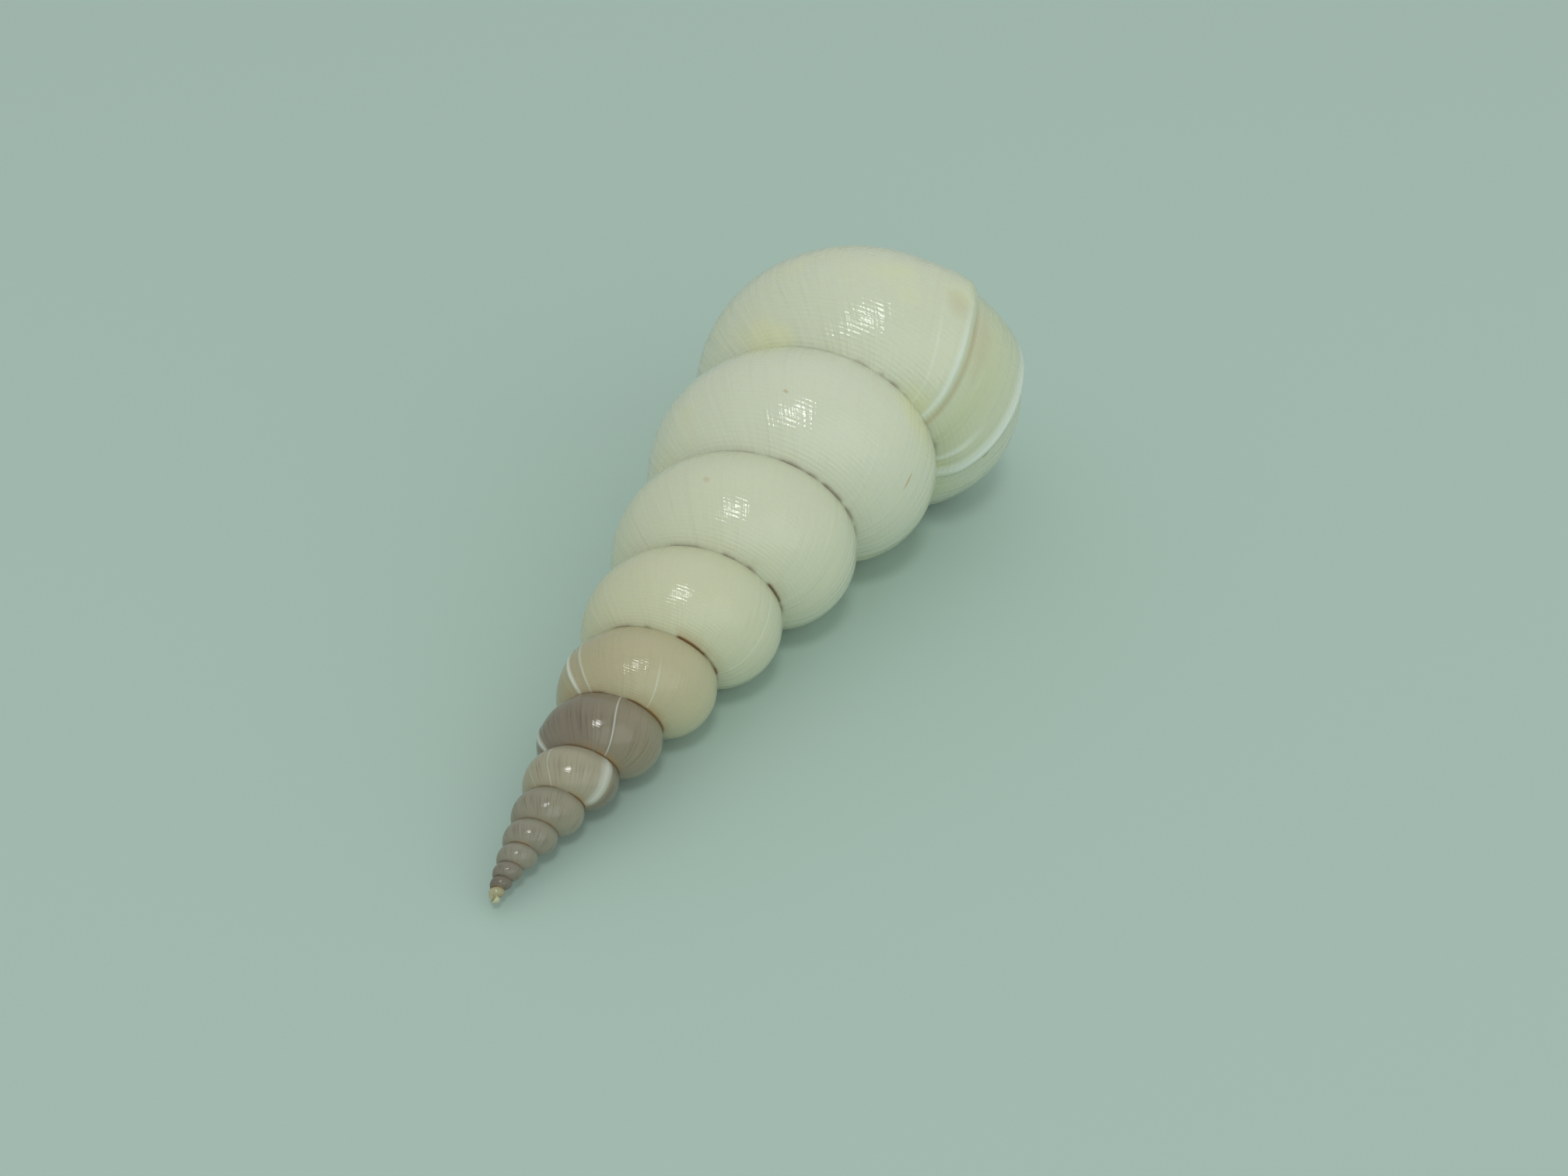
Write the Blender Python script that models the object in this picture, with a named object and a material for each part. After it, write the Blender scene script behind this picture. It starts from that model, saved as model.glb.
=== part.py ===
"""A slender, many-whorled sea shell lying on its side. Metres, +Z up, apex toward -Y."""

import math

import bmesh
import bpy
from mathutils import Matrix, Vector

MM = 0.001

# The coiling. Turn 0 is on the last whorl, and turns are counted negative toward the apex.
REACH = 41.7 * MM  # along the axis, from the apex point to the centre of the whorl at turn 0
GROWTH = 0.302  # growth of the reach per turn on the early whorls
SLOWING = 0.1056  # how much less it is at turn 0
SLOWING_TURNS = 2.44
SHARE_TURNS = 3.31  # the shares below change this slowly from the early to the last whorls
GAP, EARLY_GAP = 0.0674, 0.0511  # axis to whorl centre as a share of the reach
BREADTH, EARLY_BREADTH = 0.1492, 0.2077  # half the whorl's breadth, away from the axis
HEIGHT, EARLY_HEIGHT = 0.1454, 0.2018  # half the whorl's height, along the axis
SWAY = 0.0112  # the last whorl is rounder on one side than on the other

# The apex bends away from the axis.
BEND_TURN = -7.0  # the bend is on the whorls before this turn
BEND_SPAN = 6.0  # turns
BEND = 0.34 * MM
BEND_ANGLE = math.radians(104.7)  # from the direction of turn 0

FIRST_TURN = -12.9
ROWS_PER_TURN = 36  # one row is one growth line, from suture to suture
LIP_ROW = 484  # the row of the outer lip: turn 0.54
SLANT_ROWS = 3  # a growth line lags by this many rows between its upper and lower suture
SLANT = SLANT_ROWS / ROWS_PER_TURN
WHORL_ROWS = ROWS_PER_TURN - SLANT_ROWS  # rows from a growth line to the one under its end
PARIETAL_ROW = LIP_ROW - WHORL_ROWS  # the first row whose lower end no later whorl covers

# The base of the last whorl is drawn out toward the lip.
DRAW_START, DRAW_END = 0.10, 0.45  # turns
DRAW_OUT = 0.30  # share of the whorl's height
DRAW_SPREAD = 1.35  # over 1, the base is drawn out more on its outer side than at the axis

# Old lips: (turn at the upper suture, height as a share of the reach there).
VARICES = (
    (-5.80, 0.010),
    (-5.21, 0.006),
    (-4.12, 0.005),
    (0.132, 0.008),
    (0.246, 0.009),
    (0.342, 0.008),
    (0.386, 0.014),
)
VARIX_RISE = 0.09  # turns over which a varix rises
VARIX_FALL = 0.022  # turns over which it drops again

COLUMNS = 8  # faces between two sutures
BASE_COLUMNS = 8  # faces from the lower suture's line round the base to the axis

# The mouth: (turns behind the lip, size of the hollow as a share of the whorl's section).
HOLLOW_RINGS = (
    (0.0, 0.94),
    (0.012, 0.91),
    (0.04, 0.89),
    (0.08, 0.88),
    (0.13, 0.88),
    (0.19, 0.88),
    (0.25, 0.88),
    (0.31, 0.86),
    (0.36, 0.78),
    (0.40, 0.60),
    (0.425, 0.33),
)
COLUMELLA_BOW = 0.6 * MM  # how far the mouth's axis side is hollowed

# How the shell lies.
AXIS_RISE = math.radians(11.3)  # the base end is higher than the apex
ROLL = math.radians(27.5)  # turn 0 is this far round from the top, toward +X
APEX_HEIGHT = 0.80 * MM  # the apex point above the flat spots it rests on

SHELL_COLOUR = (0.83, 0.82, 0.74, 1.0)
SHELL_ROUGHNESS = 0.28


def smooth_step(value, low, high):
    share = min(max((value - low) / (high - low), 0.0), 1.0)
    return share * share * (3.0 - 2.0 * share)


def reach(turn):
    """Distance along the axis from the apex point to the whorl's centre."""
    slowed = SLOWING * SLOWING_TURNS * (math.exp(turn / SLOWING_TURNS) - 1.0)
    return REACH * math.exp(GROWTH * turn - slowed)


def section(turn):
    """Centre and half sizes of the whorl's oval: axis distance, reach, breadth, height."""
    size = reach(turn)
    late = math.exp(turn / SHARE_TURNS)
    sway = SWAY * math.sin(2.0 * math.pi * turn) if abs(turn) < 0.5 else 0.0
    return (
        size * (EARLY_GAP + (GAP - EARLY_GAP) * late + sway),
        size,
        size * (EARLY_BREADTH + (BREADTH - EARLY_BREADTH) * late),
        size * (EARLY_HEIGHT + (HEIGHT - EARLY_HEIGHT) * late),
    )


def draw_out(turn, angle):
    """How many times the whorl's height its base side is drawn out to."""
    spread = math.sin(min(max(DRAW_SPREAD * angle, 0.0), math.pi))
    return 1.0 + DRAW_OUT * smooth_step(turn, DRAW_START, DRAW_END) * spread


def oval_point(turn, angle, raised=0.0):
    """(distance from the axis, distance from the apex) at an angle round the whorl's oval.

    Angle 0 is farthest from the axis and pi / 2 is nearest the base.
    """
    gap, size, breadth, height = section(turn)
    height *= draw_out(turn, angle)
    grown = 1.0 + raised * size / breadth
    return (
        gap + breadth * grown * math.cos(angle),
        size + height * grown * math.sin(angle),
    )


def inside_oval(turn, point):
    gap, size, breadth, height = section(turn)
    return ((point[0] - gap) / breadth) ** 2 + ((point[1] - size) / height) ** 2 < 1.0


def suture_angle(turn):
    """Where this whorl's oval meets the next whorl's."""
    low, high = 0.0, math.radians(80)
    for _ in range(40):
        middle = 0.5 * (low + high)
        if inside_oval(turn + 1.0, oval_point(turn, middle)):
            high = middle
        else:
            low = middle
    return 0.5 * (low + high)


def upper_angle(turn):
    """Where this whorl's oval leaves the whorl before it."""
    point = oval_point(turn - 1.0, suture_angle(turn - 1.0))
    gap, size, breadth, height = section(turn)
    return math.atan2((point[1] - size) / height, (point[0] - gap) / breadth)


def axis_angle(turn):
    """Where the oval comes to the axis, on its base side."""
    gap, _, breadth, _ = section(turn)
    return math.pi - math.acos(gap / breadth)


def varix_height(turn):
    """Height of the surface over the plain whorl, as a share of the reach."""
    highest = 0.0
    for edge, height in VARICES:
        rise = smooth_step(turn, edge - VARIX_RISE, edge)
        fall = 1.0 - smooth_step(turn, edge, edge + VARIX_FALL)
        highest = max(highest, height * rise * fall)
    return highest


def lag(share):
    """Turns that a growth line has fallen back at this share of the way down the side."""
    return SLANT * math.sin(0.5 * math.pi * share)


def row_turn(row):
    return FIRST_TURN + row / ROWS_PER_TURN


def side_point(turn, share):
    """(axis distance, reach, turn) on a growth line, from its upper to its lower suture."""
    here = turn - lag(share)
    start, end = upper_angle(here), suture_angle(here)
    angle = start + (end - start) * share
    fade = share if turn > row_turn(PARIETAL_ROW) else share * (1.0 - share)
    raised = varix_height(turn) * min(1.0, 6.4 * fade)
    return (*oval_point(here, angle, raised), here)


def base_point(turn, share):
    """The same, on past the lower suture's line and round the base to the axis."""
    here = turn - SLANT
    start, end = suture_angle(here), axis_angle(here)
    angle = start + (end - start) * share
    raised = varix_height(turn) * (1.0 - share)
    radius, along = oval_point(here, angle, raised)
    return (0.0 if share == 1.0 else radius), along, here


def columella_point(turn, mouth_turn, share):
    """The point of a growth line on the axis side of the mouth, bowed away from the mouth.

    The share goes from the whorl before (0) to the lip (1).
    """
    _, along, _ = base_point(turn, 1.0)
    return -COLUMELLA_BOW * math.sin(math.pi * share), along, mouth_turn - 0.5 * SLANT


def around(turn):
    """The direction away from the axis at a turn."""
    angle = 2.0 * math.pi * turn + ROLL
    up = Vector((0.0, -math.sin(AXIS_RISE), math.cos(AXIS_RISE)))
    return up * math.cos(angle) + Vector((1.0, 0.0, 0.0)) * math.sin(angle)


def placed(radius, along, turn):
    """The world point of a place on the coil."""
    axis = Vector((0.0, math.cos(AXIS_RISE), math.sin(AXIS_RISE)))
    bend = BEND * (max(0.0, BEND_TURN - turn) / BEND_SPAN) ** 2
    bent = around(BEND_ANGLE / (2.0 * math.pi)) * bend
    return Vector((0.0, 0.0, APEX_HEIGHT)) + axis * along + around(turn) * radius + bent


def add_rows(mesh):
    """Vertices of the whorls' sides, one list for each growth line. Sutures are shared."""
    first = section(FIRST_TURN)
    tip = mesh.verts.new(placed(0.0, first[1] - first[3], FIRST_TURN))
    rows = []
    for row in range(LIP_ROW + 1):
        start = tip if row < WHORL_ROWS else rows[row - WHORL_ROWS][COLUMNS]
        vertices = [start]
        for column in range(1, COLUMNS + 1):
            turn = row_turn(row)
            if row < WHORL_ROWS:
                share = column / COLUMNS
                here = turn - lag(share)
                angle = -0.5 * math.pi + (suture_angle(here) + 0.5 * math.pi) * share
                point = (*oval_point(here, angle), here)
            else:
                point = side_point(turn, column / COLUMNS)
            vertices.append(mesh.verts.new(placed(*point)))
        rows.append(vertices)
    return rows


def add_base(mesh, rows):
    """Vertices of the base of the last whorl, from the parietal row to the lip row."""
    base = []
    for row in range(PARIETAL_ROW, LIP_ROW + 1):
        vertices = [rows[row][COLUMNS]]
        for column in range(1, BASE_COLUMNS):
            point = base_point(row_turn(row), column / BASE_COLUMNS)
            vertices.append(mesh.verts.new(placed(*point)))
        share = (row - PARIETAL_ROW) / WHORL_ROWS
        point = columella_point(row_turn(row), row_turn(LIP_ROW), share)
        vertices.append(mesh.verts.new(placed(*point)))
        base.append(vertices)
    return base


def add_grid_faces(mesh, rows):
    for lower, upper in zip(rows, rows[1:]):
        for column in range(len(lower) - 1):
            corners = (lower[column], upper[column], upper[column + 1], lower[column + 1])
            mesh.faces.new(list(dict.fromkeys(corners)))


def mouth_outline(turn):
    """The whorl's section as (axis distance, reach, turn) points in order round the mouth."""
    outline = [side_point(turn, column / COLUMNS) for column in range(COLUMNS)]
    outline += [base_point(turn, column / BASE_COLUMNS) for column in range(BASE_COLUMNS)]
    for step in range(WHORL_ROWS):
        here = turn - step / ROWS_PER_TURN
        outline.append(columella_point(here, turn, 1.0 - step / WHORL_ROWS))
    for column in range(BASE_COLUMNS, 0, -1):
        radius, along, _ = base_point(turn - 1.0 + SLANT, column / BASE_COLUMNS)
        outline.append((radius, along, turn))
    return outline


def hollow_ring(mesh, depth, size):
    """One ring of the hollow, its outline drawn in toward its middle."""
    outline = mouth_outline(row_turn(LIP_ROW) - depth)
    middle_radius = 0.5 * max(point[0] for point in outline)
    middle_along = 0.5 * (outline[0][1] + max(point[1] for point in outline))
    ring = []
    for radius, along, turn in outline:
        radius = middle_radius + (radius - middle_radius) * size
        along = middle_along + (along - middle_along) * size
        ring.append(mesh.verts.new(placed(radius, along, turn)))
    return ring


def add_mouth(mesh, rows, base):
    """The lip's edge and the hollow that runs back inside the last whorl."""
    edge = rows[LIP_ROW][:COLUMNS] + base[-1][:BASE_COLUMNS]
    edge += [vertices[BASE_COLUMNS] for vertices in reversed(base)][:-1]
    edge += list(reversed(base[0][1:]))
    rings = [edge] + [hollow_ring(mesh, depth, size) for depth, size in HOLLOW_RINGS]
    for outer, inner in zip(rings, rings[1:]):
        for index, start in enumerate(outer):
            following = (index + 1) % len(outer)
            mesh.faces.new((start, outer[following], inner[following], inner[index]))
    last = rings[-1]
    middle = mesh.verts.new(sum((vertex.co for vertex in last), Vector()) / len(last))
    for index, start in enumerate(last):
        mesh.faces.new((start, last[(index + 1) % len(last)], middle))


def cut_flat_spots(mesh):
    """Worn flat spots where the whorls touch the surface, at height 0."""
    bmesh.ops.triangulate(mesh, faces=mesh.faces[:])
    everything = mesh.verts[:] + mesh.edges[:] + mesh.faces[:]
    bmesh.ops.bisect_plane(
        mesh,
        geom=everything,
        dist=1e-7,
        plane_co=(0.0, 0.0, 0.0),
        plane_no=(0.0, 0.0, -1.0),
        clear_outer=True,
    )
    open_edges = [edge for edge in mesh.edges if edge.is_boundary]
    bmesh.ops.holes_fill(mesh, edges=open_edges, sides=0)


def centre_on_floor(mesh):
    """Moves the shell so that the middle of its outline box stands over the origin."""
    for axis in (0, 1):
        values = [vertex.co[axis] for vertex in mesh.verts]
        shift = -0.5 * (min(values) + max(values))
        offset = Vector((shift, 0.0, 0.0)) if axis == 0 else Vector((0.0, shift, 0.0))
        bmesh.ops.transform(mesh, matrix=Matrix.Translation(offset), verts=mesh.verts)


def shell_material():
    material = bpy.data.materials.new("shell")
    material.use_nodes = True
    shader = material.node_tree.nodes["Principled BSDF"]
    shader.inputs["Base Color"].default_value = SHELL_COLOUR
    shader.inputs["Roughness"].default_value = SHELL_ROUGHNESS
    shader.inputs["Metallic"].default_value = 0.0
    return material


def make_shell():
    mesh = bmesh.new()
    rows = add_rows(mesh)
    base = add_base(mesh, rows)
    add_grid_faces(mesh, rows)
    add_grid_faces(mesh, base)
    mesh.faces.new(rows[0])
    add_mouth(mesh, rows, base)
    cut_flat_spots(mesh)
    centre_on_floor(mesh)
    bmesh.ops.recalc_face_normals(mesh, faces=mesh.faces)
    data = bpy.data.meshes.new("shell")
    mesh.to_mesh(data)
    mesh.free()
    data.shade_smooth()
    data.set_sharp_from_angle(angle=math.radians(50))
    data.materials.append(shell_material())
    shell = bpy.data.objects.new("shell", data)
    bpy.context.scene.collection.objects.link(shell)
    return shell


def main():
    for thing in list(bpy.data.objects):
        bpy.data.objects.remove(thing)
    make_shell()


main()
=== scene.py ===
"""Dressed model of a wentletrap sea shell that lies on its side.

The shell is one piece. Its growth lines are first laid out flat as a sheet, and a Geometry Nodes
tree then raises the old lips and winds the sheet round the shell's axis. Metres, +Z up, apex
toward -Y.
"""

from __future__ import annotations

import logging
import math
from dataclasses import dataclass, field
from enum import Enum

import bmesh
import bpy
import numpy as np
from mathutils import Matrix, Vector

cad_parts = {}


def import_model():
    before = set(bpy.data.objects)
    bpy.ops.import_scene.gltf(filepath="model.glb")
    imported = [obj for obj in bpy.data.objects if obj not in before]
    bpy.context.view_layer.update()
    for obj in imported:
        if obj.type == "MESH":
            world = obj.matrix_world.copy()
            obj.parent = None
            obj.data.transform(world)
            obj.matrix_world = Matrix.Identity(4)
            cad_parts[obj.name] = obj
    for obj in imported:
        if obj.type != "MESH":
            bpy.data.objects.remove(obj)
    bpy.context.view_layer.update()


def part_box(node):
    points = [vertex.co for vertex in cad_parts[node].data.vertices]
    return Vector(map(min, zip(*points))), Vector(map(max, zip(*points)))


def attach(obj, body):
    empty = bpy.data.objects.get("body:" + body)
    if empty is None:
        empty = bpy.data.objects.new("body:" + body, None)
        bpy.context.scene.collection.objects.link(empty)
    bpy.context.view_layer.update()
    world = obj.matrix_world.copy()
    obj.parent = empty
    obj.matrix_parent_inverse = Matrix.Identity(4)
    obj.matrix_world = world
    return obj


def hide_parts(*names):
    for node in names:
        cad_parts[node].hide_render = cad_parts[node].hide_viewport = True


log = logging.getLogger("shell")

MM = 0.001
TAU = 2.0 * math.pi

Colour = tuple[float, float, float]
Pair = tuple[float, float]


def srgb(red: int, green: int, blue: int) -> Colour:
    """Linear colour of an 8-bit screen colour."""
    shares = (value / 255.0 for value in (red, green, blue))
    return tuple(s / 12.92 if s <= 0.04045 else ((s + 0.055) / 1.055) ** 2.4 for s in shares)


class Bench:
    """Lays out one node tree: adds its nodes, sets their values and links them."""

    def __init__(self, tree: bpy.types.NodeTree) -> None:
        """Takes an empty tree."""
        self.tree = tree

    def add(self, kind: str, inputs: dict | None = None, **settings: object) -> bpy.types.Node:
        """Adds a node.

        Args:
            kind: The node's type.
            inputs: Values or sources for its inputs, by name or by number.
            settings: The node's own properties.

        Returns:
            The new node.
        """
        node = self.tree.nodes.new(kind)
        for name, value in settings.items():
            setattr(node, name, value)
        for name, value in (inputs or {}).items():
            self.feed(node.inputs[name], value)
        return node

    def feed(self, slot: bpy.types.NodeSocket, value: object) -> None:
        """Links a source to an input, or sets the input's plain value.

        Args:
            slot: The input.
            value: A number, a socket or a plain value.
        """
        if isinstance(value, Number):
            value = value.socket
        if isinstance(value, bpy.types.NodeSocket):
            self.tree.links.new(value, slot)
        else:
            slot.default_value = value

    def number(self, socket: bpy.types.NodeSocket) -> Number:
        """The socket as a number that takes arithmetic."""
        return Number(self, socket)

    def split(self, vector: bpy.types.NodeSocket) -> tuple[Number, Number, Number]:
        """The three parts of a vector."""
        node = self.add("ShaderNodeSeparateXYZ", {0: vector})
        return tuple(self.number(output) for output in node.outputs)

    def join(self, x: object, y: object, z: object) -> bpy.types.NodeSocket:
        """A vector of three numbers."""
        return self.add("ShaderNodeCombineXYZ", {0: x, 1: y, 2: z}).outputs[0]

    def ramp(self, value: Number, low: object, high: object) -> Number:
        """A smooth step.

        Args:
            value: The number that the step follows.
            low: Where the step is 0.
            high: Where the step is 1.

        Returns:
            The step.
        """
        node = self.add("ShaderNodeMapRange", interpolation_type="SMOOTHSTEP")
        for name, source in (("Value", value), ("From Min", low), ("From Max", high)):
            self.feed(node.inputs[name], source)
        return self.number(node.outputs[0])

    def noise(self, where: bpy.types.NodeSocket, scale: float, detail: float = 2.0) -> Number:
        """Noise from 0 to 1 over a vector."""
        inputs = {"Vector": where, "Scale": scale, "Detail": detail}
        return self.number(self.add("ShaderNodeTexNoise", inputs).outputs[0])


@dataclass(frozen=True)
class Number:
    """A number that a node gives. Arithmetic on it adds Math nodes to its tree."""

    bench: Bench
    socket: bpy.types.NodeSocket

    def math(self, operation: str, *others: object, clamp: bool = False) -> Number:
        """Adds a Math node.

        Args:
            operation: The node's operation.
            others: Its second and third values.
            clamp: Whether the result is kept between 0 and 1.

        Returns:
            The result.
        """
        inputs = dict(enumerate((self, *others)))
        node = self.bench.add("ShaderNodeMath", inputs, operation=operation, use_clamp=clamp)
        return Number(self.bench, node.outputs[0])

    def __add__(self, other: object) -> Number:
        """Sum."""
        return self.math("ADD", other)

    def __sub__(self, other: object) -> Number:
        """Difference."""
        return self.math("SUBTRACT", other)

    def __mul__(self, other: object) -> Number:
        """Product."""
        return self.math("MULTIPLY", other)

    def __truediv__(self, other: object) -> Number:
        """Quotient."""
        return self.math("DIVIDE", other)

    def __neg__(self) -> Number:
        """Negative."""
        return self.math("MULTIPLY", -1.0)

    def less_from(self, whole: float) -> Number:
        """The whole less this number, never under 0 or over 1."""
        return (-self).math("ADD", whole, clamp=True)

    def largest(self, other: object) -> Number:
        """The larger of two."""
        return self.math("MAXIMUM", other)

    def bump(self, centre: float, width: float) -> Number:
        """1 at the centre, falling to 0 at the width on both sides."""
        return ((self - centre).math("ABSOLUTE") / width).less_from(1.0)


class Zone(Enum):
    """The part of the shell that a face belongs to; the value is where its profile starts."""

    SIDE = 0.0
    BASE = 1.0
    MOUTH = 3.0


@dataclass(frozen=True)
class Varix:
    """An old lip: a ridge that rises slowly along the whorl and drops at its edge."""

    turn: float
    height: float
    rise: float = 0.09
    fall: float = 0.02


@dataclass(frozen=True)
class Coil:
    """How the shell grows. Turn 0 is on the last whorl, and turns count down to the apex.

    Lengths are in metres, and shares are of the reach, the distance along the axis from the apex
    point to the whorl's centre.
    """

    reach: float = 41.7 * MM
    growth: float = 0.302
    slowing: float = 0.1056
    slowing_turns: float = 2.44
    share_turns: float = 3.31
    gap: float = 0.0674
    early_gap: float = 0.0511
    breadth: float = 0.1492
    early_breadth: float = 0.2077
    height: float = 0.1454
    early_height: float = 0.2018
    sway: float = 0.0112
    draw_start: float = 0.10
    draw_end: float = 0.45
    draw_out: float = 0.30
    draw_spread: float = 1.35
    widest_suture: float = math.radians(80)
    halvings: int = 40

    def reach_at(self, turn: np.ndarray) -> np.ndarray:
        """The reach at each turn."""
        slowed = self.slowing * self.slowing_turns * (np.exp(turn / self.slowing_turns) - 1.0)
        return self.reach * np.exp(self.growth * turn - slowed)

    def section(self, turn: np.ndarray) -> tuple[np.ndarray, ...]:
        """The sizes of the whorl's oval.

        Args:
            turn: The turns.

        Returns:
            Axis distance, reach, half breadth and half height at each.
        """
        size = self.reach_at(turn)
        late = np.exp(turn / self.share_turns)
        sway = np.where(np.abs(turn) < 0.5, self.sway * np.sin(TAU * turn), 0.0)
        return (
            size * (self.early_gap + (self.gap - self.early_gap) * late + sway),
            size,
            size * (self.early_breadth + (self.breadth - self.early_breadth) * late),
            size * (self.early_height + (self.height - self.early_height) * late),
        )

    def drawn(self, turn: np.ndarray, angle: np.ndarray) -> np.ndarray:
        """How far the base side of the oval is drawn out.

        Args:
            turn: The turns.
            angle: Angles round the oval.

        Returns:
            Factors on the half height, 1 where nothing is drawn out.
        """
        share = np.clip((turn - self.draw_start) / (self.draw_end - self.draw_start), 0.0, 1.0)
        step = share * share * (3.0 - 2.0 * share)
        return 1.0 + self.draw_out * step * np.sin(np.clip(self.draw_spread * angle, 0.0, np.pi))

    def oval(self, turn: np.ndarray, angle: np.ndarray) -> tuple[np.ndarray, np.ndarray]:
        """Points on the oval.

        Args:
            turn: The turns.
            angle: Angles round the oval: 0 is farthest from the axis, pi / 2 nearest the base.

        Returns:
            Axis distance and distance along the axis.
        """
        gap, size, breadth, height = self.section(turn)
        height = height * self.drawn(turn, angle)
        return gap + breadth * np.cos(angle), size + height * np.sin(angle)

    def outward(self, turn: np.ndarray, angle: np.ndarray) -> tuple[np.ndarray, np.ndarray]:
        """The step that raises the oval by its own reach.

        Args:
            turn: The turns.
            angle: Angles round the oval.

        Returns:
            The step in axis distance and in distance along the axis.
        """
        _, size, breadth, height = self.section(turn)
        lift = size * height * self.drawn(turn, angle) / breadth
        return size * np.cos(angle), lift * np.sin(angle)

    def suture_angle(self, turn: np.ndarray) -> np.ndarray:
        """Where each whorl's oval meets the next whorl's, found by halving.

        Args:
            turn: The turns.

        Returns:
            Angles round the oval.
        """
        low, high = np.zeros_like(turn), np.full_like(turn, self.widest_suture)
        gap, size, breadth, height = self.section(turn + 1.0)
        for _ in range(self.halvings):
            middle = 0.5 * (low + high)
            radius, along = self.oval(turn, middle)
            inside = ((radius - gap) / breadth) ** 2 + ((along - size) / height) ** 2 < 1.0
            high, low = np.where(inside, middle, high), np.where(inside, low, middle)
        return 0.5 * (low + high)

    def upper_angle(self, turn: np.ndarray) -> np.ndarray:
        """Where each whorl's oval leaves the whorl before it.

        Args:
            turn: The turns.

        Returns:
            Angles round the oval.
        """
        radius, along = self.oval(turn - 1.0, self.suture_angle(turn - 1.0))
        gap, size, breadth, height = self.section(turn)
        return np.arctan2((along - size) / height, (radius - gap) / breadth)

    def axis_angle(self, turn: np.ndarray) -> np.ndarray:
        """Where the oval comes to the axis, on its base side."""
        gap, _, breadth, _ = self.section(turn)
        return np.pi - np.arccos(gap / breadth)


@dataclass
class Sheet:
    """The shell's surface laid out flat: a vertex is (axis distance, distance along, turn)."""

    places: list[np.ndarray] = field(default_factory=list)
    outwards: list[np.ndarray] = field(default_factory=list)
    growths: list[np.ndarray] = field(default_factory=list)
    insides: list[np.ndarray] = field(default_factory=list)
    quads: list[np.ndarray] = field(default_factory=list)
    profiles: list[np.ndarray] = field(default_factory=list)
    count: int = 0

    def add_points(
        self,
        place: tuple[np.ndarray, ...],
        outward: tuple[np.ndarray, ...] | None = None,
        growth: np.ndarray | None = None,
        inside: float = 0.0,
    ) -> np.ndarray:
        """Adds vertices.

        Args:
            place: Axis distance, distance along and turn of each.
            outward: The step that raises each by its reach, or None for no relief.
            growth: The turn of each one's growth line at the upper suture.
            inside: 1 in the mouth, 0 outside.

        Returns:
            Their numbers, in the shape of the arrays given.
        """
        place = np.stack(np.broadcast_arrays(*place), -1)
        lift = np.zeros_like(place)
        if outward is not None:
            lift[..., 0], lift[..., 1] = outward
        shape = place.shape[:-1]
        turns = place[..., 2] if growth is None else np.broadcast_to(growth, shape)
        self.places.append(place.reshape(-1, 3))
        self.outwards.append(lift.reshape(-1, 3))
        self.growths.append(turns.reshape(-1))
        self.insides.append(np.full(turns.size, inside))
        first, self.count = self.count, self.count + turns.size
        return np.arange(first, self.count).reshape(shape)

    def add_grid(self, ids: np.ndarray, across: np.ndarray, down: np.ndarray) -> None:
        """Adds the faces of a grid of vertices.

        Args:
            ids: Vertex numbers, a row for each growth line or ring.
            across: The pattern's first coordinate of each vertex, its turn.
            down: The pattern's second coordinate of each vertex.
        """
        def corners(values: np.ndarray) -> np.ndarray:
            """The four corner values of each face, going round it."""
            around = (values[:-1, :-1], values[1:, :-1], values[1:, 1:], values[:-1, 1:])
            return np.stack(around, -1).reshape(-1, 4)

        self.quads.append(corners(ids))
        across, down = np.broadcast_arrays(across, down)
        self.profiles.append(np.stack([corners(across), corners(down)], -1))

    def to_object(self, name: str) -> bpy.types.Object:
        """Makes the sheet a mesh object with its pattern coordinates and attributes.

        Args:
            name: The object's name.

        Returns:
            The object, linked to the scene.
        """
        quads = np.concatenate(self.quads)
        pattern = np.concatenate(self.profiles).astype(np.float32)
        faces, uvs = [], []
        for quad, uv in zip(quads.tolist(), pattern.tolist()):
            kept = [k for k in range(4) if quad[k] != quad[k - 1]]
            faces.append([quad[k] for k in kept])
            uvs += [uv[k] for k in kept]
        data = bpy.data.meshes.new(name)
        data.from_pydata(np.concatenate(self.places).tolist(), [], faces)
        layer = data.uv_layers.new(name="coil")
        layer.data.foreach_set("uv", np.array(uvs, np.float32).ravel())
        outward = data.attributes.new("outward", "FLOAT_VECTOR", "POINT")
        outward.data.foreach_set("vector", np.concatenate(self.outwards).astype(np.float32).ravel())
        for key, values in (("growth", self.growths), ("inside", self.insides)):
            attribute = data.attributes.new(key, "FLOAT", "POINT")
            attribute.data.foreach_set("value", np.concatenate(values).astype(np.float32))
        made = bpy.data.objects.new(name, data)
        bpy.context.scene.collection.objects.link(made)
        return made


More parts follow.
